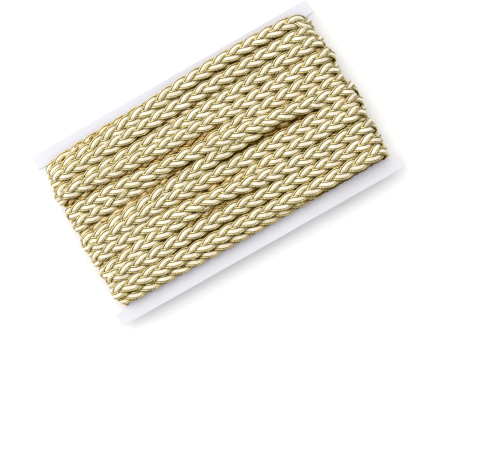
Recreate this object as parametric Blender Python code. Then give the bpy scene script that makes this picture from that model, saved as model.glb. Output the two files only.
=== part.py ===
"""Plaited metallic braid trim wound on a notched card, lying on the back of its winding.

Sizes are in millimetres and become metres where the meshes are made. X runs along the card, Y across
it and Z up. The origin lies on the surface that the winding rests on, under the middle of the card.
"""

import math
from collections import namedtuple

import bmesh
import bpy
import numpy as np

METRES = 0.001

# Card
CARD_LENGTH = 200.0
CARD_WIDTH = 123.0
CARD_THICKNESS = 2.0
CARD_CORNER_RADIUS = 2.0
WAIST_HALF_LENGTH = 89.5
NOTCH_HALF_WIDTH = 51.5
UPPER_FLARE = 0.7
LOWER_FLARE = 2.5
CORNER_STEPS = 4

# Braid and the layers of it that lie hidden under the wraps below
BRAID_WIDTH = 9.4
BRAID_THICKNESS = 3.2
LOBE_RISE = 0.6
EDGE_SHARE = 0.49
UNDER_LAYERS = 4.0

# Share of its bed's slope and of its bed's height that a wrap takes up, because soft braid gives
# and presses together
TILT_SHARE = 0.5
BED_SHARE = 0.70

# Space between the card and the winding, and the winding's room beside the card's four tabs
CLEARANCE = 0.3
TURN_HALF_WIDTH = NOTCH_HALF_WIDTH - CLEARANCE

# The under-layers make a flat band round the card with half-round ends
CORE_HALF_DEPTH = CARD_THICKNESS / 2 + UNDER_LAYERS
CORE_HALF_LENGTH = 88.0
CORE_REACH = CORE_HALF_LENGTH + CORE_HALF_DEPTH
LEAST_HEIGHT = 0.2

# Level of the resting surface below the under-layers, and how far the lowest crests are pressed flat
REST_DEPTH = 4.5
PRESSED = 0.35
MIDDLE_HEIGHT = CORE_HALF_DEPTH + REST_DEPTH - PRESSED

# Fineness of the winding's mesh
FACE_STEPS = 34
TURN_STEPS = 6
STRIPS = 64
CELL = 0.5

STATIONS = (-90.0, -60.0, -30.0, 0.0, 30.0, 60.0, 90.0)

# One line for each wrap, in the order of winding: where its middle lies across the card at the seven
# stations along the front, how far it reaches at either end, and how deep it is sunk into the
# under-layers, with None where it lies on the wraps before it.
Wrap = namedtuple("Wrap", "across reach_left reach_right sunk_by")
WRAPS = (
    Wrap((-47.3, -47.6, -47.8, -48.0, -47.8, -47.6, -47.1), 92.6, 94.0, 1.7),
    Wrap((-29.4, -28.3, -27.4, -27.0, -25.8, -24.0, -22.9), 95.0, 95.5, 1.7),
    Wrap((-1.5, -1.3, -0.4, 0.5, 1.1, 0.5, -0.5), 97.3, 94.5, 1.6),
    Wrap((21.3, 19.5, 17.9, 16.1, 15.4, 15.8, 16.3), 96.5, 96.0, 1.7),
    Wrap((35.3, 35.5, 36.2, 36.8, 37.1, 37.2, 37.8), 98.5, 94.5, 1.7),
    Wrap((47.7, 49.5, 49.9, 49.8, 49.3, 48.7, 47.7), 97.0, 94.3, 1.7),
    Wrap((42.6, 44.8, 48.2, 51.0, 52.4, 52.7, 51.0), 97.6, 95.3, None),
    Wrap((39.0, 39.2, 40.4, 41.5, 42.0, 41.9, 41.5), 97.5, 93.6, None),
    Wrap((30.0, 30.1, 29.8, 29.7, 30.3, 31.8, 33.3), 99.8, 96.3, None),
    Wrap((27.7, 25.3, 23.4, 22.2, 21.3, 22.0, 22.6), 99.3, 98.9, None),
    Wrap((6.9, 8.4, 9.3, 10.6, 12.8, 12.7, 13.3), 98.8, 96.1, None),
    Wrap((-5.8, -4.4, -2.1, 1.0, 2.0, 4.1, 4.9), 99.8, 95.2, None),
    Wrap((15.2, 14.7, 11.6, 8.8, 6.3, 1.1, -3.4), 99.5, 99.8, None),
    Wrap((-10.4, -8.5, -8.4, -9.5, -9.4, -9.6, -10.9), 98.0, 99.8, None),
    Wrap((-27.9, -24.4, -22.3, -20.3, -18.3, -18.1, -18.3), 97.2, 97.3, None),
    Wrap((-17.3, -16.3, -17.8, -22.8, -26.8, -28.5, -29.1), 98.0, 97.8, None),
    Wrap((-33.4, -33.7, -33.3, -33.7, -35.8, -37.5, -37.8), 95.3, 96.8, None),
    Wrap((-41.6, -42.8, -43.7, -43.7, -45.4, -47.0, -46.8), 96.1, 95.0, None),
)


def clear_scene():
    """Remove whatever objects the file already holds."""
    for item in list(bpy.data.objects):
        bpy.data.objects.remove(item, do_unlink=True)


def make_material(name, colour, roughness, metallic):
    """Return a plain Principled BSDF material."""
    material = bpy.data.materials.new(name)
    material.use_nodes = True
    shader = material.node_tree.nodes["Principled BSDF"]
    shader.inputs["Base Color"].default_value = (*colour, 1.0)
    shader.inputs["Roughness"].default_value = roughness
    shader.inputs["Metallic"].default_value = metallic
    return material


def make_object(name, shape, material):
    """Turn a bmesh in millimetres into a named object in metres."""
    bmesh.ops.scale(shape, vec=(METRES, METRES, METRES), verts=shape.verts)
    mesh = bpy.data.meshes.new(name)
    shape.to_mesh(mesh)
    shape.free()
    mesh.materials.append(material)
    item = bpy.data.objects.new(name, mesh)
    bpy.context.scene.collection.objects.link(item)
    return item


# Card

def corner_arc(centre_x, centre_y, first_angle, last_angle):
    """Points of one rounded corner, from one angle to the other."""
    angles = np.linspace(first_angle, last_angle, CORNER_STEPS + 1)
    return [(centre_x + CARD_CORNER_RADIUS * math.cos(a), centre_y + CARD_CORNER_RADIUS * math.sin(a))
            for a in angles]


def tab_outline(flare):
    """The card's outline over a right-hand upper tab, from the notch to the long edge."""
    inset = CARD_CORNER_RADIUS
    foot = [(WAIST_HALF_LENGTH, NOTCH_HALF_WIDTH), (CARD_LENGTH / 2, NOTCH_HALF_WIDTH + flare)]
    return foot + corner_arc(CARD_LENGTH / 2 - inset, CARD_WIDTH / 2 - inset, 0.0, math.pi / 2)


def make_card():
    """The flat card, with a tab at each corner and a notch at either end."""
    upper_tab = tab_outline(UPPER_FLARE)
    lower_tab = tab_outline(LOWER_FLARE)
    outline = upper_tab + [(-x, y) for x, y in reversed(upper_tab)]
    outline += [(-x, -y) for x, y in lower_tab] + [(x, -y) for x, y in reversed(lower_tab)]
    shape = bmesh.new()
    bottom = MIDDLE_HEIGHT - CARD_THICKNESS / 2
    corners = [shape.verts.new((x, y, bottom)) for x, y in outline]
    face = shape.faces.new(corners)
    raised = bmesh.ops.extrude_face_region(shape, geom=[face])["geom"]
    lifted = [item for item in raised if isinstance(item, bmesh.types.BMVert)]
    bmesh.ops.translate(shape, vec=(0.0, 0.0, CARD_THICKNESS), verts=lifted)
    bmesh.ops.recalc_face_normals(shape, faces=shape.faces)
    return make_object("card", shape, make_material("white_card", (0.78, 0.78, 0.81), 0.55, 0.0))


# Winding

Column = namedtuple("Column", "part x angle")


def columns_round_card():
    """The mesh's columns, once round the card from the left end of the front."""
    places = np.linspace(-CORE_HALF_LENGTH, CORE_HALF_LENGTH, FACE_STEPS + 1)
    turn = [math.pi / 2 - math.pi * step / TURN_STEPS for step in range(1, TURN_STEPS)]
    front = [Column("front", x, math.pi / 2) for x in places]
    right = [Column("right", CORE_HALF_LENGTH, angle) for angle in turn]
    back = [Column("back", x, -math.pi / 2) for x in reversed(places)]
    left = [Column("left", -CORE_HALF_LENGTH, -angle) for angle in turn]
    return front + right + back + left


def smooth_along(table):
    """Ease a value along the whole wound length, whose end joins its start."""
    weights = (1, 2, 3, 2, 1)
    run = table.ravel()
    eased = sum(weight * np.roll(run, shift) for shift, weight in zip((-2, -1, 0, 1, 2), weights))
    return (eased / sum(weights)).reshape(table.shape)


def lines_across(columns):
    """Where each wrap's middle lies across the card at each column."""
    limit = TURN_HALF_WIDTH - BRAID_WIDTH / 2
    across = np.empty((len(WRAPS), len(columns)))
    for index, wrap in enumerate(WRAPS):
        following = WRAPS[(index + 1) % len(WRAPS)]
        for place, column in enumerate(columns):
            if column.part == "front":
                across[index, place] = np.interp(column.x, STATIONS, wrap.across)
            elif column.part == "right":
                across[index, place] = wrap.across[-1]
            elif column.part == "left":
                across[index, place] = following.across[0]
            else:
                share = (CORE_HALF_LENGTH - column.x) / (2 * CORE_HALF_LENGTH)
                across[index, place] = wrap.across[-1] + share * (following.across[0] - wrap.across[-1])
    across = smooth_along(across)
    turning = [column.part in ("right", "left") for column in columns]
    across[:, turning] = np.clip(across[:, turning], -limit, limit)
    return across


def braid_section(offset):
    """Half thickness of the braid at a distance from its middle."""
    share = np.clip(2 * np.abs(offset) / BRAID_WIDTH, 0.0, 1.0)
    return BRAID_THICKNESS / 2 * (1.0 - share * share)


def lay_wraps(across, order, sunk_by):
    """Lay wraps one on another over a face: height of each one's middle, and its tilt."""
    reach = CARD_WIDTH / 2
    cells = np.arange(-reach, reach, CELL)
    bed = np.zeros((across.shape[1], len(cells)))
    heights = np.zeros_like(across)
    tilts = np.zeros_like(across)
    for index in order:
        offset = cells[None, :] - across[index][:, None]
        under = np.abs(offset) < BRAID_WIDTH / 2
        if sunk_by[index] is not None:
            heights[index] = BRAID_THICKNESS / 2 - sunk_by[index]
        else:
            heights[index] = BED_SHARE * (bed * under).sum(1) / under.sum(1) + BRAID_THICKNESS / 2
            tilts[index] = TILT_SHARE * (bed * offset * under).sum(1) / (offset ** 2 * under).sum(1)
        top = heights[index][:, None] + tilts[index][:, None] * offset + braid_section(offset)
        bed = np.where(under, np.maximum(bed, top), bed)
    return heights, tilts


def heights_and_tilts(columns, across):
    """Height above the under-layers, and tilt, of each wrap at each column."""
    heights = np.zeros_like(across)
    tilts = np.zeros_like(across)
    parts = np.array([column.part for column in columns])
    forward = range(len(WRAPS))
    front = parts == "front"
    heights[:, front], tilts[:, front] = lay_wraps(across[:, front], forward, [w.sunk_by for w in WRAPS])

    # On the back the wraps are pressed level by what they lie on, the last of them lowest.
    back = parts == "back"
    depths, slopes = lay_wraps(across[:, back], reversed(forward), [None] * len(WRAPS))
    heights[:, back] = REST_DEPTH - depths
    tilts[:, back] = -slopes

    first_back = FACE_STEPS + TURN_STEPS
    last_back = first_back + FACE_STEPS
    for place, column in enumerate(columns):
        if column.part not in ("right", "left"):
            continue
        level = math.cos(column.angle) ** 2
        for index in range(len(WRAPS)):
            if column.part == "right":
                reach = WRAPS[index].reach_right
                beside = heights[index, FACE_STEPS if column.angle > 0 else first_back]
            else:
                following = (index + 1) % len(WRAPS)
                reach = WRAPS[following].reach_left
                beside = heights[following, 0] if column.angle > 0 else heights[index, last_back]
            end_height = reach - CORE_REACH - BRAID_THICKNESS / 2
            heights[index, place] = level * end_height + (1 - level) * beside
    return smooth_along(heights), smooth_along(tilts)


def skin_height(place, y, across, heights, tilts):
    """Height of the winding's outer skin at one column, at positions across the card."""
    offset = y[None, :] - across[:, place][:, None]
    side = (-1.0) ** (place + np.arange(len(WRAPS)))
    lobes = LOBE_RISE * side[:, None] * np.sin(2 * math.pi * offset / BRAID_WIDTH)
    top = heights[:, place][:, None] + tilts[:, place][:, None] * offset + braid_section(offset) + lobes
    covered = np.abs(offset) < BRAID_WIDTH / 2
    return np.maximum(np.where(covered, top, LEAST_HEIGHT).max(0), LEAST_HEIGHT)


def place_strips(place, across, heights, tilts):
    """Even positions across the card, the nearest of them moved into each valley between wraps."""
    low = across[:, place].min() - EDGE_SHARE * BRAID_WIDTH
    high = across[:, place].max() + EDGE_SHARE * BRAID_WIDTH
    y = np.linspace(low, high, STRIPS + 1)
    fine = np.arange(low, high, CELL / 2)
    skin = skin_height(place, fine, across, heights, tilts)
    in_valley = np.zeros(len(y), dtype=bool)
    reach = 0.5 * (high - low) / STRIPS
    for cell in range(2, len(fine) - 2):
        if skin[cell] < skin[cell - 2:cell].min() and skin[cell] <= skin[cell + 1:cell + 3].min():
            nearest = int(np.abs(y - fine[cell]).argmin())
            if 0 < nearest < STRIPS and abs(y[nearest] - fine[cell]) < reach:
                y[nearest] = fine[cell]
                in_valley[nearest] = True
    return y, in_valley


def skin_point(column, y, height):
    """A point of the outer skin, from its height above the under-layers."""
    radius = CORE_HALF_DEPTH + height
    side = -1.0 if column.part == "left" else 1.0
    x = column.x + side * radius * math.cos(column.angle)
    return x, y, max(MIDDLE_HEIGHT + radius * math.sin(column.angle), 0.0)


def slot_point(column, y):
    """A point of the slot that the card's waist passes through."""
    half_length = WAIST_HALF_LENGTH + CLEARANCE
    half_depth = CARD_THICKNESS / 2 + CLEARANCE
    if column.part in ("front", "back"):
        return column.x, y, MIDDLE_HEIGHT + half_depth * math.sin(column.angle)
    share = min(max(math.sin(column.angle) / math.sin(math.pi / 3), -1.0), 1.0)
    return math.copysign(half_length, column.x), y, MIDDLE_HEIGHT + half_depth * share


def make_winding():
    """The braid wound round the card, a ridge for each wrap and a bump for each lobe of its plait."""
    columns = columns_round_card()
    across = lines_across(columns)
    heights, tilts = heights_and_tilts(columns, across)
    shape = bmesh.new()
    skin, slot, valleys = [], [], []
    for place, column in enumerate(columns):
        y, in_valley = place_strips(place, across, heights, tilts)
        tops = skin_height(place, y, across, heights, tilts)
        skin.append([shape.verts.new(skin_point(column, *pair)) for pair in zip(y, tops)])
        slot.append([shape.verts.new(slot_point(column, edge)) for edge in (y[0], y[-1])])
        valleys.append(in_valley)

    for place in range(len(columns)):
        ahead = (place + 1) % len(columns)
        for strip in range(STRIPS):
            near, far = skin[place][strip:strip + 2]
            next_near, next_far = skin[ahead][strip:strip + 2]
            if valleys[place][strip + 1] and valleys[ahead][strip]:
                shape.faces.new((near, next_near, far))
                shape.faces.new((next_near, next_far, far))
            else:
                shape.faces.new((near, next_near, next_far))
                shape.faces.new((near, next_far, far))
        for edge, strip in ((0, 0), (1, STRIPS)):
            shape.faces.new((skin[place][strip], skin[ahead][strip], slot[ahead][edge]))
            shape.faces.new((skin[place][strip], slot[ahead][edge], slot[place][edge]))
        shape.faces.new((slot[place][0], slot[ahead][0], slot[ahead][1]))
        shape.faces.new((slot[place][0], slot[ahead][1], slot[place][1]))

    bmesh.ops.recalc_face_normals(shape, faces=shape.faces)
    winding = make_object("winding", shape, make_material("gold_braid", (0.72, 0.62, 0.40), 0.4, 0.35))
    winding.data.shade_smooth()
    winding.data.set_sharp_from_angle(angle=math.radians(50))
    return winding


clear_scene()
make_card()
make_winding()
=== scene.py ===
"""Looks of the metallic braid trim wound on its card: the plaited cords, their fibres and the board.

The braid is modelled as it is made: three strands plaited flat, each one white satin cord between two
twisted gold cords, in one closed length that runs round the card wrap after wrap. Lengths are in
millimetres and become metres where the meshes are made.
"""

import math
from collections import namedtuple

import bpy
import numpy as np
from mathutils import Matrix, Vector


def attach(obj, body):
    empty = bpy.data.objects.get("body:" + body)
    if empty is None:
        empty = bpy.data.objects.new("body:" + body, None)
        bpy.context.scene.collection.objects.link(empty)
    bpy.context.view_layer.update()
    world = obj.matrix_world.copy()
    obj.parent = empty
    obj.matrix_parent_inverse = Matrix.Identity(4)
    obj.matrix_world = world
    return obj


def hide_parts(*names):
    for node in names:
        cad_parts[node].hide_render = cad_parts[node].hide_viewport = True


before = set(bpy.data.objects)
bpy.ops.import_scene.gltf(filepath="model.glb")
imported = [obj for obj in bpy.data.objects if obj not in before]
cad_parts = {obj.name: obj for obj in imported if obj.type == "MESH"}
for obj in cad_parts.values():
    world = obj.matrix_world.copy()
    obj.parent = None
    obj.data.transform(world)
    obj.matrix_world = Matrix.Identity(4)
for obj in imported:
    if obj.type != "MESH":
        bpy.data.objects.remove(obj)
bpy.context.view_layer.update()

METRES = 0.001

# Card and winding, as in the solids
CARD_THICKNESS = 2.0
CARD_WIDTH = 123.0
TURN_HALF_WIDTH = 51.2
CORE_HALF_DEPTH = 5.0
CORE_HALF_LENGTH = 88.0
CORE_REACH = CORE_HALF_LENGTH + CORE_HALF_DEPTH
REST_DEPTH = 4.5
MIDDLE_HEIGHT = 9.15
BACK_LIFT = 0.45
BRAID_WIDTH = 9.4
BRAID_THICKNESS = 3.2

# Share of its bed's slope and of its bed's height that a wrap takes up, because soft braid gives
# and presses together
TILT_SHARE = 0.5
BED_SHARE = 0.70

# Laying: a step along the winding, a cell across it, and the lengths over which the course is eased,
# first as a whole and then where it is kept within the notches
STEP = 1.0
CELL = 0.25
EASE = 6.0
CLIP_EASE = 2.0

# How far out of the core the columns round the ends are a step apart
TURN_MARGIN = 3.0

# Plait: how a strand swings to the sides, rises and rolls, and the usual length of one V
STRANDS = 3
SAMPLES_PER_V = 8
STRAND_SWING = 2.70
STRAND_RISE = 1.0
STRAND_ROLL = 0.30
USUAL_PITCH = 10.35

# Unevenness of the plait: shift and roll of a strand, and how often it sways in each V
SWAY_SHIFT = 0.13
SWAY_ROLL = 0.06
SWAY_RATES = (0.37, 0.83)

# Cords of a strand, and the length of one turn of the gold twist
GOLD_OFFSET = 1.74
GOLD_RADIUS = 0.62
GOLD_FULLNESS = 1.0
GOLD_SIDES = 6
WHITE_HALF_WIDTH = 1.28
WHITE_HALF_THICKNESS = 0.64
WHITE_FULLNESS = 0.80
WHITE_SIDES = 10
TWIST_PITCH = 0.85

# Colours: stops of place and colour, and tints that multiply them
# The darkest gold stops paint shade in the twist's grooves and seams, the palest paint highlights on
# ridges and flecks
GOLD_STOPS = (
    (0.20, (0.030, 0.018, 0.002)),
    (0.42, (0.42, 0.30, 0.048)),
    (0.60, (0.94, 0.78, 0.27)),
    (0.80, (1.00, 0.94, 0.55)),
)
GOLD_EDGE = (1.00, 0.82, 0.40)
WHITE_STOPS = (
    (0.32, (0.60, 0.51, 0.35)),
    (0.47, (0.82, 0.75, 0.58)),
    (0.60, (0.94, 0.89, 0.76)),
)
# Painted shade at the white cord's sides next to the gold, warmed as by light reflected off the gold
SEAM_SHADE_WHITE = (0.38, 0.27, 0.08)
# Painted shade in the gaps between the wraps, warmed as by light reflected off the gold
GAP_SHADE_GOLD = (1.00, 0.74, 0.34)
GAP_SHADE_WHITE = (1.00, 0.81, 0.43)
# Painted shade in the hollows of the plait
CREVICE_SHADE = (0.25, 0.165, 0.020)
CARD_STOPS = (
    (0.35, (0.690, 0.687, 0.735)),
    (0.65, (0.725, 0.722, 0.770)),
)

# Fineness of the grain of threads, of their broader shades and of the board
THREAD_DETAIL = 3.0
BROAD_DETAIL = 2.0
BOARD_DETAIL = 4.0

# Gold thread: grain along and round the cord, which also paints glints, its share and the twist's in the
# relief, the band of painted shade between two places across the cord, the painted shade at the rim, and
# the finish
FLECK_SCALE = (2.3, 5.0, 1.0)
FLECK_SHARE = 0.55
RIDGE_SHARE = 0.60
GOLD_SEAM_SHADE = (-0.25, -0.75)
GOLD_RIM_SHADE = (0.55, 1.0)
RIM_SHADE_SHARE = 0.10
GOLD_METALLIC = 0.85
GOLD_ROUGHNESS = 0.20
FLECK_ROUGHNESS = 0.30
GOLD_RELIEF = 0.12
GOLD_BUMP = 0.9

# White satin: filaments and broader tones along and round the cord, and the band of painted shade at
# either side
FILAMENT_SCALE = (0.35, 34.0, 1.0)
FILAMENT_SHARE = 0.6
BROAD_SCALE = (0.12, 2.0, 1.0)
BROAD_SHARE = 0.4
WHITE_SEAM_SHADE = (0.72, 0.88)
WHITE_ROUGHNESS = 0.42
WHITE_SPECULAR = 0.35
WHITE_RELIEF = 0.05
WHITE_BUMP = 0.6

# Under-layers' surface: gold painted darker for shade below the wraps, less metallic
UNDER_GRAIN_SCALE = 1500.0
UNDER_SHADE = 0.14
UNDER_METALLIC = 0.6
UNDER_ROUGHNESS = 0.42
UNDER_RELIEF = 0.15
UNDER_BUMP = 0.5

# Board: cloud and fibres
CLOUD_SCALE = 45.0
CLOUD_SHARE = 0.55
FIBRE_SCALE = (900.0, 1600.0, 900.0)
FIBRE_SHARE = 0.45
CARD_ROUGHNESS = 0.42
FIBRE_ROUGHNESS = 0.2
CARD_RELIEF = 0.04
CARD_BUMP = 0.5

# Dome of light, and the darker room that shiny threads mirror
DOME_TOWARDS = (-0.36, 0.68, 0.64)
DOME_TOP = 0.68
DOME_BASE = 0.82
SHINE_SHARPNESS = 2.0
SHINE_TOP = 2.5
SHINE_BASE = 0.08

# Lamps, which point at the origin
Lamp = namedtuple("Lamp", "name position size energy colour")
LAMPS = (
    Lamp("key", (-0.28, 0.63, 1.36), 2.0, 4.8, (1.0, 0.99, 0.97)),
    Lamp("fill", (0.6, -0.9, 1.2), 1.2, 0.5, (1.0, 1.0, 1.0)),
)

# Floor, in metres
FLOOR_HALF_SIZE = 15.0
FLOOR_COLOUR = (0.93, 0.93, 0.93)
FLOOR_ROUGHNESS = 0.8

# Camera: focal length and picture width in pixels, turns about X, Y and Z in degrees, place in metres
FOCAL_PIXELS = 1000.0
PICTURE_WIDTH = 488.0
SENSOR_WIDTH = 36.0
CAMERA_TURNS = (8.54, 1.97, -29.57)
CAMERA_PLACE = (0.0147, -0.1405, 0.6188)

# Under-layers: fineness, how far their edge lies within the outermost wraps, their level against the
# band's, and the floor of their relief
UNDER_STEP = 0.7
UNDER_STRIPS = 150
UNDER_INSET = 2.0
UNDER_LEVEL = -0.35
RELIEF_FLOOR = -1.3

# Sides of the under-layers, which turn down to the card: strips, space left above the card, the stretch
# of a braid's section that they show, from its first offset over a span, and how far they are drawn in
SKIRT_STRIPS = 6
SKIRT_CLEARANCE = 0.1
SKIRT_OFFSET = 1.6
SKIRT_SPAN = 4.4
SKIRT_DRAWN_IN = 0.3

# Depth below the crests round a point, over which painted shade darkens and warms the colours: a size of
# cell, how many cells the crests reach, and the depths where the change starts and is whole
Depth = namedtuple("Depth", "name cell reach start whole")
DEPTHS = (
    Depth("gap", 1.0, 4, 1.3, 4.2),
    Depth("crevice", 0.5, 1, 0.56, 1.34),
)
SPARE_CELLS = 4

# Radius at which the length of the winding's course is measured round the ends
TURN_RADIUS = 9.0

STATIONS = (-90.0, -60.0, -30.0, 0.0, 30.0, 60.0, 90.0)

# One line for each wrap, in the order of winding: where its middle lies across the card at the seven
# stations along the front, how far it reaches at either end, how deep it is sunk between others, where
# one V of its plait starts near the middle of the card, and the length of one V. The places were read
# from the photograph and then corrected by how far the rows and V's of a render were off.
Wrap = namedtuple("Wrap", "across reach_left reach_right sunk_by vertex pitch")
WRAPS = (
    Wrap((-47.3, -47.6, -47.8, -48.0, -47.8, -47.6, -47.1), 92.6, 94.0, 0.8, 1.0, 10.4),
    Wrap((-29.4, -28.3, -27.4, -27.0, -25.8, -24.0, -22.9), 95.0, 95.5, 1.7, -1.0, 10.5),
    Wrap((-1.5, -1.3, -0.4, 0.5, 1.1, 0.5, -0.5), 97.3, 94.5, 1.6, -4.0, 10.4),
    Wrap((21.3, 19.5, 17.9, 16.1, 15.4, 15.8, 16.3), 96.5, 96.0, 1.7, 0.4, 10.48),
    Wrap((35.3, 35.5, 36.2, 36.8, 37.1, 37.2, 37.8), 98.5, 94.5, 1.7, 1.85, 10.45),
    Wrap((47.7, 49.5, 49.9, 49.8, 49.3, 48.7, 47.7), 97.0, 94.3, 1.7, -5.0, 10.4),
    Wrap((42.6, 44.8, 48.2, 51.0, 52.4, 52.7, 51.0), 97.6, 95.3, None, -1.10, 10.41),
    Wrap((39.0, 39.2, 40.4, 41.5, 42.0, 41.9, 41.5), 97.5, 93.6, None, -0.35, 10.49),
    Wrap((30.0, 30.1, 29.8, 29.7, 30.3, 31.8, 33.3), 101.2, 96.3, None, -1.75, 10.54),
    Wrap((27.7, 25.3, 23.4, 22.2, 21.3, 22.0, 22.6), 99.3, 98.9, None, -5.07, 10.35),
    Wrap((6.9, 8.4, 9.3, 10.6, 12.8, 12.7, 13.3), 98.8, 96.1, None, -0.03, 10.42),
    Wrap((-5.8, -4.4, -2.1, 1.0, 2.0, 4.1, 4.9), 100.2, 95.2, None, -3.86, 10.40),
    Wrap((15.2, 14.7, 11.6, 8.8, 6.3, 1.1, -3.4), 99.5, 100.2, None, 0.54, 10.29),
    Wrap((-10.4, -8.5, -8.4, -9.5, -9.4, -9.6, -10.9), 98.0, 99.8, None, -4.36, 10.375),
    Wrap((-27.9, -24.4, -22.3, -20.3, -18.3, -18.1, -18.3), 97.2, 97.3, None, 2.15, 10.39),
    Wrap((-17.3, -16.3, -17.8, -22.8, -26.8, -28.5, -29.1), 98.0, 97.8, None, -3.45, 10.415),
    Wrap((-33.4, -33.7, -33.3, -33.7, -35.8, -37.5, -37.8), 95.3, 96.8, None, -0.53, 10.47),
    Wrap((-41.6, -42.8, -43.7, -43.7, -45.4, -47.0, -46.8), 96.1, 95.0, None, 0.93, 10.45),
)


# Winding's course

class Course:
    """The columns once round the card, from the left end of the front."""

    def __init__(self, step):
        self.step = step
        places = np.linspace(-CORE_HALF_LENGTH, CORE_HALF_LENGTH, int(2 * CORE_HALF_LENGTH / step) + 1)
        turn_steps = int(math.pi * (CORE_HALF_DEPTH + TURN_MARGIN) / step)
        turn = math.pi / 2 - math.pi * np.arange(1, turn_steps) / turn_steps
        ends = np.full(len(turn), CORE_HALF_LENGTH)
        self.x = np.concatenate([places, ends, places[::-1], -ends])
        self.angle = np.concatenate([0 * places + math.pi / 2, turn, 0 * places - math.pi / 2, -turn])
        counts = (len(places), len(turn), len(places), len(turn))
        self.part = np.repeat(("front", "right", "back", "left"), counts)
        self.side = np.where(self.part == "left", -1.0, 1.0)
        self.first_back = counts[0] + counts[1]
        self.last_front = counts[0] - 1
        self.last_back = self.first_back + counts[2] - 1

    def outward(self):
        """The direction out of the winding at each column."""
        return np.stack([self.side * np.cos(self.angle), 0 * self.angle, np.sin(self.angle)], axis=1)


def smooth_along(table, reach):
    """Ease a value along the whole wound length, whose end joins its start."""
    run = table.ravel()
    rates = np.fft.rfftfreq(len(run))
    eased = np.fft.irfft(np.fft.rfft(run) * np.exp(-2 * (math.pi * rates * reach) ** 2), len(run))
    return eased.reshape(table.shape)


def lines_across(course):
    """Where each wrap's middle lies across the card at each column."""
    limit = TURN_HALF_WIDTH - (STRAND_SWING + GOLD_OFFSET + GOLD_RADIUS)
    rows = []
    for index, wrap in enumerate(WRAPS):
        following = WRAPS[(index + 1) % len(WRAPS)]
        share = (CORE_HALF_LENGTH - course.x) / (2 * CORE_HALF_LENGTH)
        back = wrap.across[-1] + share * (following.across[0] - wrap.across[-1])
        row = np.where(course.part == "front", np.interp(course.x, STATIONS, wrap.across), back)
        row = np.where(course.part == "right", wrap.across[-1], row)
        rows.append(np.where(course.part == "left", following.across[0], row))
    across = smooth_along(np.array(rows), EASE / course.step)
    turning = (course.part == "right") | (course.part == "left")
    across[:, turning] = np.clip(across[:, turning], -limit, limit)
    return smooth_along(across, CLIP_EASE / course.step)


def braid_section(offset):
    """Half thickness of the braid at a distance from its middle."""
    share = np.clip(2 * np.abs(offset) / BRAID_WIDTH, 0.0, 1.0)
    return BRAID_THICKNESS / 2 * (1.0 - share * share)


def lay_wraps(across, order, sunk_by):
    """Lay wraps one on another over a face: height of each one's middle, and its tilt."""
    cells = np.arange(-CARD_WIDTH / 2, CARD_WIDTH / 2, CELL)
    bed = np.zeros((across.shape[1], len(cells)))
    heights = np.zeros_like(across)
    tilts = np.zeros_like(across)
    for index in order:
        offset = cells[None, :] - across[index][:, None]
        under = np.abs(offset) < BRAID_WIDTH / 2
        if sunk_by[index] is not None:
            heights[index] = BRAID_THICKNESS / 2 - sunk_by[index]
        else:
            heights[index] = BED_SHARE * (bed * under).sum(1) / under.sum(1) + BRAID_THICKNESS / 2
            tilts[index] = TILT_SHARE * (bed * offset * under).sum(1) / (offset ** 2 * under).sum(1)
        top = heights[index][:, None] + tilts[index][:, None] * offset + braid_section(offset)
        bed = np.where(under, np.maximum(bed, top), bed)
    return heights, tilts


def heights_and_tilts(course, across):
    """Height above the under-layers, and tilt, of each wrap at each column."""
    heights = np.zeros_like(across)
    tilts = np.zeros_like(across)
    forward = range(len(WRAPS))
    front = course.part == "front"
    heights[:, front], tilts[:, front] = lay_wraps(across[:, front], forward, [w.sunk_by for w in WRAPS])
    back = course.part == "back"
    depths, slopes = lay_wraps(across[:, back], reversed(forward), [None] * len(WRAPS))
    heights[:, back] = REST_DEPTH - BACK_LIFT - depths
    tilts[:, back] = -slopes

    level = np.cos(course.angle) ** 2
    upper = course.angle > 0
    for index, wrap in enumerate(WRAPS):
        following = (index + 1) % len(WRAPS)
        right = course.part == "right"
        beside = np.where(upper, heights[index, course.last_front], heights[index, course.first_back])
        end = wrap.reach_right - CORE_REACH - BRAID_THICKNESS / 2
        heights[index, right] = (level * end + (1 - level) * beside)[right]
        left = course.part == "left"
        beside = np.where(upper, heights[following, 0], heights[index, course.last_back])
        end = WRAPS[following].reach_left - CORE_REACH - BRAID_THICKNESS / 2
        heights[index, left] = (level * end + (1 - level) * beside)[left]
    return smooth_along(heights, EASE / course.step), smooth_along(tilts, EASE / course.step)


def count_vs(course, lengths):
    """Count of V's at each column, and the whole count where the braid meets its start.

    The count is even along each front row. Round the back as much is added as brings the plait to the
    start of a V of the following row, with V's near their usual length. The whole count is a multiple of
    three, so that each strand meets itself.
    """
    count = np.zeros_like(lengths)
    start = 0.0
    last = course.last_front
    for index, wrap in enumerate(WRAPS):
        following = WRAPS[(index + 1) % len(WRAPS)]
        first = (-CORE_HALF_LENGTH - wrap.vertex) / wrap.pitch
        count[index, :last + 1] = start + (course.x[:last + 1] + CORE_HALF_LENGTH) / wrap.pitch
        run = np.cumsum(lengths[index, last:])
        phase = first + (count[index, last] - start)
        ahead = (-CORE_HALF_LENGTH - following.vertex) / following.pitch
        whole = round(phase + run[-1] / USUAL_PITCH - ahead)
        if index == len(WRAPS) - 1:
            total = count[index, last] + ahead + whole - phase
            whole += round(total / STRANDS) * STRANDS - total
        gained = ahead + whole - phase
        count[index, last + 1:] = count[index, last] + gained * run[:-1] / run[-1]
        start = count[index, last] + gained
    return count, start


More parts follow.
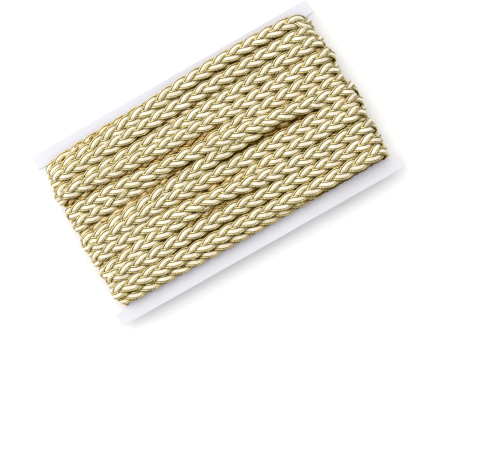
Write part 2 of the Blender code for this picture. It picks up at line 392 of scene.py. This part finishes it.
def wound_line():
    """The middle line of the whole wound braid, with its outward direction, tilt and count of V's."""
    course = Course(STEP)
    across = lines_across(course)
    heights, tilts = heights_and_tilts(course, across)
    outward = course.outward()
    radius = CORE_HALF_DEPTH + heights
    points = np.stack([
        course.x + radius * outward[:, 0],
        across,
        MIDDLE_HEIGHT + radius * outward[:, 2],
    ], axis=2)
    flat = points.reshape(-1, 3)
    lengths = np.linalg.norm(np.roll(flat, -1, axis=0) - flat, axis=1).reshape(across.shape)
    count, closing = count_vs(course, lengths)
    offset = (-CORE_HALF_LENGTH - WRAPS[0].vertex) / WRAPS[0].pitch
    total = int(round(closing))

    wanted = np.arange(total * SAMPLES_PER_V) / SAMPLES_PER_V
    known = np.append(count.ravel(), closing)

    def resample(table):
        closed = np.append(table, table[:1], axis=0)
        return np.stack([np.interp(wanted, known, closed[:, k]) for k in range(closed.shape[1])], axis=1)

    middle = resample(flat)
    outward = resample(np.tile(outward, (len(WRAPS), 1)))
    tilt = resample(tilts.reshape(-1, 1))
    return middle, outward, tilt, wanted + offset, total


def unit(vectors):
    """Vectors of length one."""
    return vectors / np.linalg.norm(vectors, axis=1, keepdims=True)


def along(points):
    """Direction of a closed line at each of its points."""
    return unit(np.roll(points, -1, axis=0) - np.roll(points, 1, axis=0))


def uneven(phase, total, strand):
    """A slow wave from about -1 to 1 along a strand, which meets itself after the whole plait."""
    wave = np.zeros_like(phase)
    for order, rate in enumerate(SWAY_RATES):
        whole = round(rate * total) / total
        wave += np.sin(2 * math.pi * whole * phase + (2 + order) * strand) / len(SWAY_RATES)
    return wave


# Meshes

def make_piece(name, points, faces, corners, material):
    """A piece from vertex and face tables, with a map in millimetres along and round the cord."""
    points[:, 2] = np.maximum(points[:, 2], 0.0)
    mesh = bpy.data.meshes.new(name)
    mesh.from_pydata((points * METRES).tolist(), [], faces.tolist())
    layer = mesh.uv_layers.new(name="cord")
    layer.data.foreach_set("uv", corners.astype(np.float32).ravel())
    mesh.materials.append(material)
    mesh.shade_smooth()
    mesh.update()
    piece = bpy.data.objects.new(name, mesh)
    bpy.context.scene.collection.objects.link(piece)
    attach(piece, "root")
    return piece


def quads(rings, sides, strips):
    """Faces between each ring of points and the next, with the ring and the side that each starts at."""
    ring, side = np.meshgrid(np.arange(rings), np.arange(strips), indexing="ij")
    next_ring = (ring + 1) % rings
    next_side = (side + 1) % sides
    faces = np.stack([
        ring * sides + side,
        next_ring * sides + side,
        next_ring * sides + next_side,
        ring * sides + next_side,
    ], axis=-1).reshape(-1, 4)
    return faces, ring, side


def closed_tube(name, line, across, up, half_width, half_thickness, fullness, sides, material):
    """One cord: an oval tube along a closed line."""
    turn = 2 * math.pi * np.arange(sides) / sides
    width = half_width * np.sign(np.cos(turn)) * np.abs(np.cos(turn)) ** fullness
    thickness = half_thickness * np.sign(np.sin(turn)) * np.abs(np.sin(turn)) ** fullness
    ring = width[None, :, None] * across[:, None, :] + thickness[None, :, None] * up[:, None, :]
    points = (line[:, None, :] + ring).reshape(-1, 3)
    faces, ring_index, side_index = quads(len(line), sides, sides)
    steps = np.linalg.norm(np.roll(line, -1, axis=0) - line, axis=1)
    length = np.append(0.0, np.cumsum(steps))
    near = length[:-1][ring_index]
    far = length[1:][ring_index]
    low = side_index / sides
    high = (side_index + 1) / sides
    corners = np.stack([
        np.stack([near, low], axis=-1),
        np.stack([far, low], axis=-1),
        np.stack([far, high], axis=-1),
        np.stack([near, high], axis=-1),
    ], axis=2).reshape(-1, 4, 2)
    return make_piece(name, points, faces[:, ::-1], corners[:, ::-1], material)


def make_cords(gold, white):
    """The cords of the plait: in each strand one white cord between two gold ones."""
    middle, outward, tilt, phase, total = wound_line()
    forward = along(middle)
    upward = outward - tilt * np.array([[0.0, 1.0, 0.0]])
    upward = unit(upward - (upward * forward).sum(1, keepdims=True) * forward)
    sideways = np.cross(upward, forward)

    cords = []
    for strand in range(STRANDS):
        swing = 2 * math.pi * (phase + strand) / STRANDS
        sway = uneven(phase, total, strand)[:, None]
        line = (middle + (STRAND_SWING * np.sin(swing)[:, None] + SWAY_SHIFT * sway) * sideways
                + STRAND_RISE * np.sin(2 * swing)[:, None] * upward)
        heading = along(line)
        flat = unit(np.cross(upward, heading))
        raised = np.cross(heading, flat)
        roll = STRAND_ROLL * np.cos(3 * swing)[:, None] + SWAY_ROLL * sway
        across = np.cos(roll) * flat + np.sin(roll) * raised
        out = np.cross(heading, across)
        cords.append(closed_tube(f"white_cord_{strand + 1}", line, across, out, WHITE_HALF_WIDTH,
                                 WHITE_HALF_THICKNESS, WHITE_FULLNESS, WHITE_SIDES, white))
        for edge, side in enumerate((-1.0, 1.0)):
            shifted = line + side * GOLD_OFFSET * across
            cords.append(closed_tube(f"gold_cord_{2 * strand + edge + 1}", shifted, side * across,
                                     side * out, GOLD_RADIUS, GOLD_RADIUS, GOLD_FULLNESS,
                                     GOLD_SIDES, gold))
    return cords


def plait_relief(count, offset):
    """Height of a flat plait's upper side above its middle, and whether white shows there."""
    height = np.full(offset.shape, RELIEF_FLOOR)
    white_share = np.zeros(offset.shape)
    for strand in range(STRANDS):
        swing = 2 * math.pi * (count + strand) / STRANDS
        slant = np.arctan(STRAND_SWING * np.cos(swing) * 2 * math.pi / (STRANDS * USUAL_PITCH))
        aside = (offset - STRAND_SWING * np.sin(swing)) * np.cos(slant)
        centre = STRAND_RISE * np.sin(2 * swing) + aside * np.sin(STRAND_ROLL * np.cos(3 * swing))
        dome = WHITE_HALF_THICKNESS * np.sqrt(np.clip(1 - (aside / WHITE_HALF_WIDTH) ** 2, 0, 1))
        rope = np.abs(np.abs(aside) - GOLD_OFFSET) / GOLD_RADIUS
        cord = GOLD_RADIUS * np.sqrt(np.clip(1 - rope ** 2, 0, 1))
        inside = np.abs(aside) < GOLD_OFFSET + GOLD_RADIUS
        top = np.where(inside, centre + np.maximum(dome, cord), RELIEF_FLOOR)
        white_share = np.where(top > height, np.where(dome > cord, 1.0, 0.0), white_share)
        height = np.maximum(height, top)
    return height, white_share


def make_under_layers(material):
    """The layers of braid that show in the gaps between the wraps, as one closed band round the card."""
    course = Course(UNDER_STEP)
    across = lines_across(course)
    inset = BRAID_WIDTH / 2 - UNDER_INSET
    low = across.min(0) - inset
    high = across.max(0) + inset
    share = np.arange(UNDER_STRIPS + 1) / UNDER_STRIPS
    y = low[:, None] + (high - low)[:, None] * share[None, :]
    outward = course.outward()
    reach = CORE_HALF_DEPTH + UNDER_LEVEL
    spine = np.stack([course.x + reach * outward[:, 0], 0 * course.x, reach * outward[:, 2]], axis=1)
    steps = np.linalg.norm(np.roll(spine, -1, axis=0) - spine, axis=1)
    length = np.append(0.0, np.cumsum(steps))
    once = length[-1]
    row = y / BRAID_WIDTH + (length[:-1] / once)[:, None]
    index = np.floor(row)
    height, white_share = plait_relief((length[:-1, None] - index * once) / USUAL_PITCH,
                                       (row - index - 0.5) * BRAID_WIDTH)
    radius = reach + height

    # The sides turn down to the card, with the edge of one more row showing in each
    down = np.arange(1, SKIRT_STRIPS + 1) / SKIRT_STRIPS
    lowest = CARD_THICKNESS / 2 + SKIRT_CLEARANCE
    wall_radius = np.maximum(reach - down * (reach - CARD_THICKNESS / 2), lowest)
    shown = SKIRT_OFFSET - SKIRT_SPAN * down
    relief, wall_white = plait_relief(length[:-1, None] / USUAL_PITCH, shown[None, :])
    wall_radius = np.tile(wall_radius, (len(course.x), 1))
    near_y = low[:, None] - relief[:, ::-1] + SKIRT_DRAWN_IN
    far_y = high[:, None] + relief - SKIRT_DRAWN_IN
    y = np.concatenate([near_y, y, far_y], axis=1)
    radius = np.concatenate([wall_radius[:, ::-1], radius, wall_radius], axis=1)
    white_share = np.concatenate([wall_white[:, ::-1], white_share, wall_white], axis=1)
    points = np.stack([
        course.x[:, None] + radius * outward[:, 0][:, None],
        y,
        MIDDLE_HEIGHT + radius * outward[:, 2][:, None],
    ], axis=2)
    columns, rows = y.shape
    faces, _, _ = quads(columns, rows, rows - 1)
    corners = np.zeros((len(faces), 4, 2))
    piece = make_piece("under_layers", points.reshape(-1, 3), faces, corners, material)
    layer = piece.data.attributes.new("white_share", "FLOAT", "POINT")
    layer.data.foreach_set("value", white_share.astype(np.float32).ravel())
    return piece


def course_run(points):
    """Length along the winding's course, and distance from the card's middle plane or its end."""
    beyond = np.maximum(np.abs(points[:, 0]) - CORE_HALF_LENGTH, 0.0)
    rise = points[:, 2] - MIDDLE_HEIGHT
    turned = math.pi / 2 - np.arctan2(rise, beyond)
    inside = np.minimum(np.abs(points[:, 0]), CORE_HALF_LENGTH)
    run = inside + turned * TURN_RADIUS + 2 * (CORE_HALF_LENGTH - inside) * turned / math.pi
    return np.copysign(run, points[:, 0]), np.hypot(beyond, rise)


def mark_depth(pieces, depth):
    """Store on each vertex how far it lies below the crests round it, as a share from 0 to 1."""
    once = 4 * CORE_HALF_LENGTH + 2 * math.pi * TURN_RADIUS
    crests = np.zeros((int(once / depth.cell) + 1, int(CARD_WIDTH / depth.cell) + SPARE_CELLS))
    found = []
    for piece in pieces:
        points = np.empty(3 * len(piece.data.vertices), dtype=np.float32)
        piece.data.vertices.foreach_get("co", points)
        points = points.reshape(-1, 3) / METRES
        run, radius = course_run(points)
        across = points[:, 1] + CARD_WIDTH / 2
        cell = (np.mod(run, once) / depth.cell).astype(int), (across / depth.cell).astype(int)
        np.maximum.at(crests, cell, radius)
        found.append((piece, cell, radius))
    shifts = range(-depth.reach, depth.reach + 1)
    for axis in (0, 1):
        crests = np.max([np.roll(crests, shift, axis) for shift in shifts], axis=0)
    for axis in (0, 1):
        crests = np.mean([np.roll(crests, shift, axis) for shift in shifts], axis=0)
    for piece, cell, radius in found:
        share = (crests[cell] - radius - depth.start) / (depth.whole - depth.start)
        layer = piece.data.attributes.new(depth.name, "FLOAT", "POINT")
        layer.data.foreach_set("value", np.clip(share, 0.0, 1.0).astype(np.float32))


# Materials

def new_material(name):
    """A material with its nodes, its links and its surface shader."""
    material = bpy.data.materials.new(name)
    material.use_nodes = True
    nodes = material.node_tree.nodes
    return material, nodes, material.node_tree.links, nodes["Principled BSDF"]


def add(nodes, kind, **values):
    """A node of a kind, with its settings."""
    node = nodes.new(kind)
    for key, value in values.items():
        setattr(node, key, value)
    return node


def maths(nodes, links, operation, first, second=None, third=None):
    """A Math node fed with sockets or numbers."""
    node = add(nodes, "ShaderNodeMath", operation=operation)
    for socket, value in zip(node.inputs, (first, second, third)):
        if value is None:
            continue
        if isinstance(value, (int, float)):
            socket.default_value = value
        else:
            links.new(value, socket)
    return node.outputs[0]


def ramp(nodes, links, factor, stops):
    """A colour ramp from stops of place and colour."""
    node = add(nodes, "ShaderNodeValToRGB")
    elements = node.color_ramp.elements
    while len(elements) < len(stops):
        elements.new(0.5)
    for element, (place, colour) in zip(elements, stops):
        element.position = place
        element.color = (*colour, 1.0)
    links.new(factor, node.inputs["Fac"])
    return node.outputs["Color"]


def noise(nodes, links, vector, scale, detail):
    """A share from 0 to 1 that varies from place to place."""
    node = add(nodes, "ShaderNodeTexNoise")
    node.inputs["Scale"].default_value = scale
    node.inputs["Detail"].default_value = detail
    links.new(vector, node.inputs["Vector"])
    return node.outputs["Fac"]


def tinted(nodes, links, colour, tint, factor):
    """A colour multiplied by a tint, by a factor."""
    node = add(nodes, "ShaderNodeMix", data_type="RGBA", blend_type="MULTIPLY")
    links.new(colour, node.inputs["A"])
    node.inputs["B"].default_value = (*tint, 1.0)
    links.new(factor, node.inputs["Factor"])
    return node.outputs["Result"]


def with_painted_shade(nodes, links, colour, gap_shade_tint):
    """A colour with painted shade: darker and warmer in the gaps between the wraps, darker in the
    crevices of the plait.
    """
    gap = add(nodes, "ShaderNodeAttribute", attribute_name="gap").outputs["Fac"]
    crevice = add(nodes, "ShaderNodeAttribute", attribute_name="crevice").outputs["Fac"]
    return tinted(nodes, links, tinted(nodes, links, colour, gap_shade_tint, gap), CREVICE_SHADE, crevice)


def cord_side(nodes, links, turn, first, last):
    """A share that grows from 0 to 1 between two places across a cord, from -1 at one side to 1."""
    aside = maths(nodes, links, "COSINE", maths(nodes, links, "MULTIPLY", turn, 2 * math.pi))
    span = add(nodes, "ShaderNodeMapRange", interpolation_type="SMOOTHSTEP")
    links.new(aside, span.inputs["Value"])
    span.inputs["From Min"].default_value = first
    span.inputs["From Max"].default_value = last
    return span.outputs["Result"]


def scaled(nodes, links, vector, scale):
    """A vector multiplied axis by axis."""
    node = add(nodes, "ShaderNodeMapping")
    node.inputs["Scale"].default_value = scale
    links.new(vector, node.inputs["Vector"])
    return node.outputs["Vector"]


def cord_map(nodes, links):
    """Millimetres along the cord and turns round it, and both as one vector."""
    uv = add(nodes, "ShaderNodeUVMap", uv_map="cord")
    split = add(nodes, "ShaderNodeSeparateXYZ")
    links.new(uv.outputs["UV"], split.inputs["Vector"])
    return split.outputs["X"], split.outputs["Y"], uv.outputs["UV"]


def bump(nodes, links, height, distance, strength, shader):
    """Relief of a depth in millimetres on a shader."""
    node = add(nodes, "ShaderNodeBump")
    node.inputs["Strength"].default_value = strength
    node.inputs["Distance"].default_value = distance * METRES
    links.new(height, node.inputs["Height"])
    links.new(node.outputs["Normal"], shader.inputs["Normal"])


def gold_material():
    """Metallic gold thread of two plies, twisted into a cord."""
    material, nodes, links, shader = new_material("gold_thread")
    length, turn, vector = cord_map(nodes, links)
    twist = maths(nodes, links, "ADD", maths(nodes, links, "MULTIPLY", length, 1 / TWIST_PITCH), turn)
    wave = maths(nodes, links, "SINE", maths(nodes, links, "MULTIPLY", twist, 2 * math.pi))
    ridge = maths(nodes, links, "MULTIPLY_ADD", wave, 0.5, 0.5)
    fleck = noise(nodes, links, scaled(nodes, links, vector, FLECK_SCALE), 1.0, THREAD_DETAIL)
    relief = maths(nodes, links, "ADD", maths(nodes, links, "MULTIPLY", ridge, RIDGE_SHARE),
                   maths(nodes, links, "MULTIPLY", fleck, FLECK_SHARE))
    # Painted shade on the side next to the white and at the outer rim
    seam_shade = cord_side(nodes, links, turn, *GOLD_SEAM_SHADE)
    rim_shade = maths(nodes, links, "MULTIPLY", cord_side(nodes, links, turn, *GOLD_RIM_SHADE), RIM_SHADE_SHARE)
    shade = maths(nodes, links, "SUBTRACT", maths(nodes, links, "SUBTRACT", relief, seam_shade), rim_shade)
    # The ramp paints shade in the grooves and highlights on ridges and flecks; the tints paint shade in
    # gaps and crevices
    colour = with_painted_shade(nodes, links, ramp(nodes, links, shade, GOLD_STOPS), GAP_SHADE_GOLD)
    links.new(colour, shader.inputs["Base Color"])
    shader.inputs["Metallic"].default_value = GOLD_METALLIC
    shader.inputs["Specular Tint"].default_value = (*GOLD_EDGE, 1.0)
    rough = maths(nodes, links, "MULTIPLY_ADD", fleck, FLECK_ROUGHNESS, GOLD_ROUGHNESS)
    links.new(rough, shader.inputs["Roughness"])
    bump(nodes, links, relief, GOLD_RELIEF, GOLD_BUMP, shader)
    return material


def white_material():
    """Soft satin cord of fine lengthwise filaments."""
    material, nodes, links, shader = new_material("white_satin")
    _, turn, vector = cord_map(nodes, links)
    filaments = noise(nodes, links, scaled(nodes, links, vector, FILAMENT_SCALE), 1.0, THREAD_DETAIL)
    broad = noise(nodes, links, scaled(nodes, links, vector, BROAD_SCALE), 1.0, BROAD_DETAIL)
    shade = maths(nodes, links, "ADD", maths(nodes, links, "MULTIPLY", filaments, FILAMENT_SHARE),
                  maths(nodes, links, "MULTIPLY", broad, BROAD_SHARE))
    deep = with_painted_shade(nodes, links, ramp(nodes, links, shade, WHITE_STOPS), GAP_SHADE_WHITE)
    # Painted shade at either side of the cord, next to the gold
    start, whole = WHITE_SEAM_SHADE
    left = cord_side(nodes, links, turn, -start, -whole)
    seam_shade = maths(nodes, links, "ADD", left, cord_side(nodes, links, turn, start, whole))
    links.new(tinted(nodes, links, deep, SEAM_SHADE_WHITE, seam_shade), shader.inputs["Base Color"])
    shader.inputs["Roughness"].default_value = WHITE_ROUGHNESS
    shader.inputs["Specular IOR Level"].default_value = WHITE_SPECULAR
    bump(nodes, links, filaments, WHITE_RELIEF, WHITE_BUMP, shader)
    return material


def under_material():
    """The same braid in the layers below, told apart by the share of white on the mesh."""
    material, nodes, links, shader = new_material("under_braid")
    share = add(nodes, "ShaderNodeAttribute", attribute_name="white_share")
    place = add(nodes, "ShaderNodeTexCoord")
    grain = noise(nodes, links, place.outputs["Object"], UNDER_GRAIN_SCALE, THREAD_DETAIL)
    pale = with_painted_shade(nodes, links, ramp(nodes, links, grain, WHITE_STOPS), GAP_SHADE_WHITE)
    # The under-layers' gold is painted darker, for shade below the wraps
    shaded_grain = maths(nodes, links, "SUBTRACT", grain, UNDER_SHADE)
    gilt = with_painted_shade(nodes, links, ramp(nodes, links, shaded_grain, GOLD_STOPS), GAP_SHADE_GOLD)
    mix = add(nodes, "ShaderNodeMix", data_type="RGBA")
    links.new(share.outputs["Fac"], mix.inputs["Factor"])
    links.new(gilt, mix.inputs["A"])
    links.new(pale, mix.inputs["B"])
    links.new(mix.outputs["Result"], shader.inputs["Base Color"])
    metallic = maths(nodes, links, "MULTIPLY_ADD", share.outputs["Fac"], -UNDER_METALLIC, UNDER_METALLIC)
    links.new(metallic, shader.inputs["Metallic"])
    shader.inputs["Roughness"].default_value = UNDER_ROUGHNESS
    bump(nodes, links, grain, UNDER_RELIEF, UNDER_BUMP, shader)
    return material


def card_material():
    """Smooth white board with a faint cloud and grain of fibres."""
    material, nodes, links, shader = new_material("white_board")
    place = add(nodes, "ShaderNodeTexCoord")
    cloud = noise(nodes, links, place.outputs["Object"], CLOUD_SCALE, BOARD_DETAIL)
    fibrous = scaled(nodes, links, place.outputs["Object"], FIBRE_SCALE)
    fibres = noise(nodes, links, fibrous, 1.0, BOARD_DETAIL)
    shade = maths(nodes, links, "ADD", maths(nodes, links, "MULTIPLY", cloud, CLOUD_SHARE),
                  maths(nodes, links, "MULTIPLY", fibres, FIBRE_SHARE))
    links.new(ramp(nodes, links, shade, CARD_STOPS), shader.inputs["Base Color"])
    rough = maths(nodes, links, "MULTIPLY_ADD", fibres, FIBRE_ROUGHNESS, CARD_ROUGHNESS)
    links.new(rough, shader.inputs["Roughness"])
    bump(nodes, links, fibres, CARD_RELIEF, CARD_BUMP, shader)
    return material


# Pieces

gold = gold_material()
white = white_material()
board = card_material()
under = under_material()

pieces = make_cords(gold, white)
pieces.append(make_under_layers(under))
# How deep each vertex lies, which the materials turn into painted shade
for depth in DEPTHS:
    mark_depth(pieces, depth)
for piece in pieces:
    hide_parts("winding")

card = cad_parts["card"]
card.data.materials.clear()
card.data.materials.append(board)


# Floor, light and camera

def make_floor():
    """A plain pale floor under the winding."""
    size = FLOOR_HALF_SIZE
    corners = [(-size, -size, 0), (size, -size, 0), (size, size, 0), (-size, size, 0)]
    mesh = bpy.data.meshes.new("floor")
    mesh.from_pydata(corners, [], [(0, 1, 2, 3)])
    material, _, _, shader = new_material("pale_floor")
    shader.inputs["Base Color"].default_value = (*FLOOR_COLOUR, 1.0)
    shader.inputs["Roughness"].default_value = FLOOR_ROUGHNESS
    mesh.materials.append(material)
    floor = bpy.data.objects.new("floor", mesh)
    bpy.context.scene.collection.objects.link(floor)


def add_lamp(lamp):
    """A round soft lamp that points at the origin."""
    light = bpy.data.lights.new(lamp.name, "AREA")
    light.shape = "DISK"
    light.size = lamp.size
    light.energy = lamp.energy
    light.color = lamp.colour
    item = bpy.data.objects.new(lamp.name, light)
    item.location = lamp.position
    item.rotation_euler = (-Vector(lamp.position)).to_track_quat("-Z", "Y").to_euler()
    bpy.context.scene.collection.objects.link(item)


def make_world():
    """A soft dome of light, brightest overhead and towards the card's upper left.

    What the shiny threads mirror is a darker room with one bright side, so that they sparkle.
    """
    world = bpy.data.worlds.new("studio")
    world.use_nodes = True
    nodes, links = world.node_tree.nodes, world.node_tree.links
    direction = add(nodes, "ShaderNodeTexCoord").outputs["Generated"]
    towards = add(nodes, "ShaderNodeVectorMath", operation="DOT_PRODUCT")
    links.new(direction, towards.inputs[0])
    towards.inputs[1].default_value = Vector(DOME_TOWARDS).normalized()
    level = maths(nodes, links, "MAXIMUM", towards.outputs["Value"], 0.0)
    glow = maths(nodes, links, "MULTIPLY_ADD", level, DOME_TOP, DOME_BASE)
    bright_side = maths(nodes, links, "POWER", level, SHINE_SHARPNESS)
    shine = maths(nodes, links, "MULTIPLY_ADD", bright_side, SHINE_TOP, SHINE_BASE)
    path = add(nodes, "ShaderNodeLightPath")
    strength = add(nodes, "ShaderNodeMix", data_type="FLOAT")
    links.new(path.outputs["Is Glossy Ray"], strength.inputs["Factor"])
    links.new(glow, strength.inputs["A"])
    links.new(shine, strength.inputs["B"])
    links.new(strength.outputs["Result"], nodes["Background"].inputs["Strength"])
    nodes["Background"].inputs["Color"].default_value = (1.0, 1.0, 1.0, 1.0)
    bpy.context.scene.world = world


def make_camera():
    """The camera at the place and with the angle of view that the card's corners give."""
    camera = bpy.data.cameras.new("camera")
    camera.sensor_width = SENSOR_WIDTH
    camera.lens = SENSOR_WIDTH * FOCAL_PIXELS / PICTURE_WIDTH
    view = bpy.data.objects.new("camera", camera)
    bpy.context.scene.collection.objects.link(view)
    placed = Matrix.Translation(CAMERA_PLACE)
    for angle, axis in zip(CAMERA_TURNS, "XYZ"):
        placed = placed @ Matrix.Rotation(math.radians(angle), 4, axis)
    view.matrix_world = placed
    bpy.context.scene.camera = view


make_floor()
for lamp in LAMPS:
    add_lamp(lamp)
make_world()
make_camera()
bpy.context.scene.view_settings.view_transform = "Standard"
